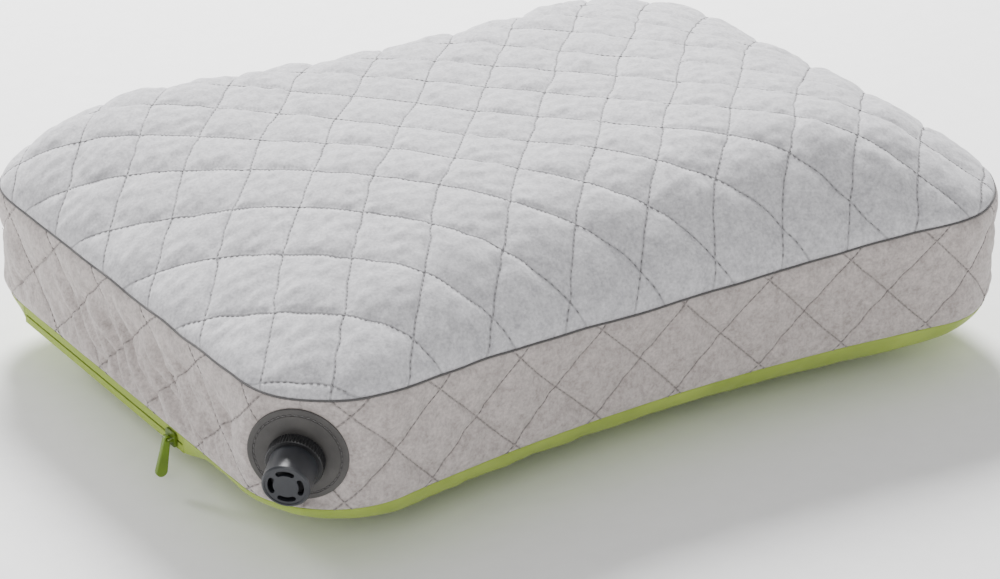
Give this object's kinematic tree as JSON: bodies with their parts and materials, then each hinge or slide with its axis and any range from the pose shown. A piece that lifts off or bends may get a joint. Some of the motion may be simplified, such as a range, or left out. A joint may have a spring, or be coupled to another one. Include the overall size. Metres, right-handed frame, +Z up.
{
  "type": "camp pillow",
  "caption": "Hourglass inflatable camp pillow: quilted soft top and sides over a welded air bladder, screw valve at one corner, zip along one short end.",
  "frame": {"origin": "middle of the flat underside, where the pillow rests", "axes": "+X along the pillow's length, away from the zip end; +Y across it, away from the valve's side; +Z up, from the nylon underside to the quilted top"},
  "size_m": [0.3895, 0.2936, 0.1146],
  "materials": {
    "velour_top": "matte",
    "velour_band": "matte",
    "nylon_green": "satin",
    "wadding": "matte",
    "lining": "matte",
    "bladder_film": "satin",
    "seam_thread": "matte",
    "patch_rubber": "matte",
    "valve_plastic": "satin",
    "grip_plastic": "satin",
    "seal_rubber": "matte",
    "zip_tape": "matte",
    "zip_coil": "satin",
    "slider_enamel": "satin",
    "pull_plastic": "satin"
  },
  "bodies": {
    "cover": {"top_panel": "velour_top", "side_band": "velour_band", "bottom_panel": "nylon_green", "top_wadding": "wadding", "band_wadding": "wadding", "top_lining": "lining", "band_lining": "lining", "bladder_upper": "bladder_film", "bladder_lower": "bladder_film", "top_seam_thread": "seam_thread", "bottom_seam_thread": "seam_thread", "patch_stitches": "seam_thread", "valve_patch": "patch_rubber", "valve_stem": "valve_plastic", "zip_tape_upper": "zip_tape", "zip_tape_lower": "zip_tape", "zip_coil_upper": "zip_coil", "zip_coil_lower": "zip_coil", "zip_stops": "zip_coil"},
    "valve_seal": {"valve_o_ring": "seal_rubber"},
    "valve_cap": {"valve_cap": "valve_plastic", "valve_grip_ring": "grip_plastic", "valve_seal_disc": "seal_rubber"},
    "zip_slider": {"zip_slider": "slider_enamel"},
    "zip_pull": {"zip_pull": "pull_plastic"}
  },
  "joints": [
    {"name": "valve_lift", "type": "slide", "parent": "cover", "child": "valve_seal", "axis": [-0.6861, -0.7105, -0.1564], "range_m": [0, 0.003]},
    {"name": "valve_turn", "type": "hinge", "parent": "valve_seal", "child": "valve_cap", "pos_m": [-0.18372, -0.13326, 0.05047], "axis": [-0.6861, -0.7105, -0.1564], "range_deg": [0, 180]},
    {"name": "zip_travel", "type": "slide", "parent": "cover", "child": "zip_slider", "axis": [0, 1, 0], "range_m": [0, 0.127]},
    {"name": "pull_swing", "type": "hinge", "parent": "zip_slider", "child": "zip_pull", "pos_m": [-0.1905, -0.041, 0.024], "axis": [0, 1, 0], "range_deg": [0, 120]}
  ],
  "couplings": [
    {"joint": "valve_turn", "follows": "valve_lift", "rad_per_m": 1047.2}
  ]
}
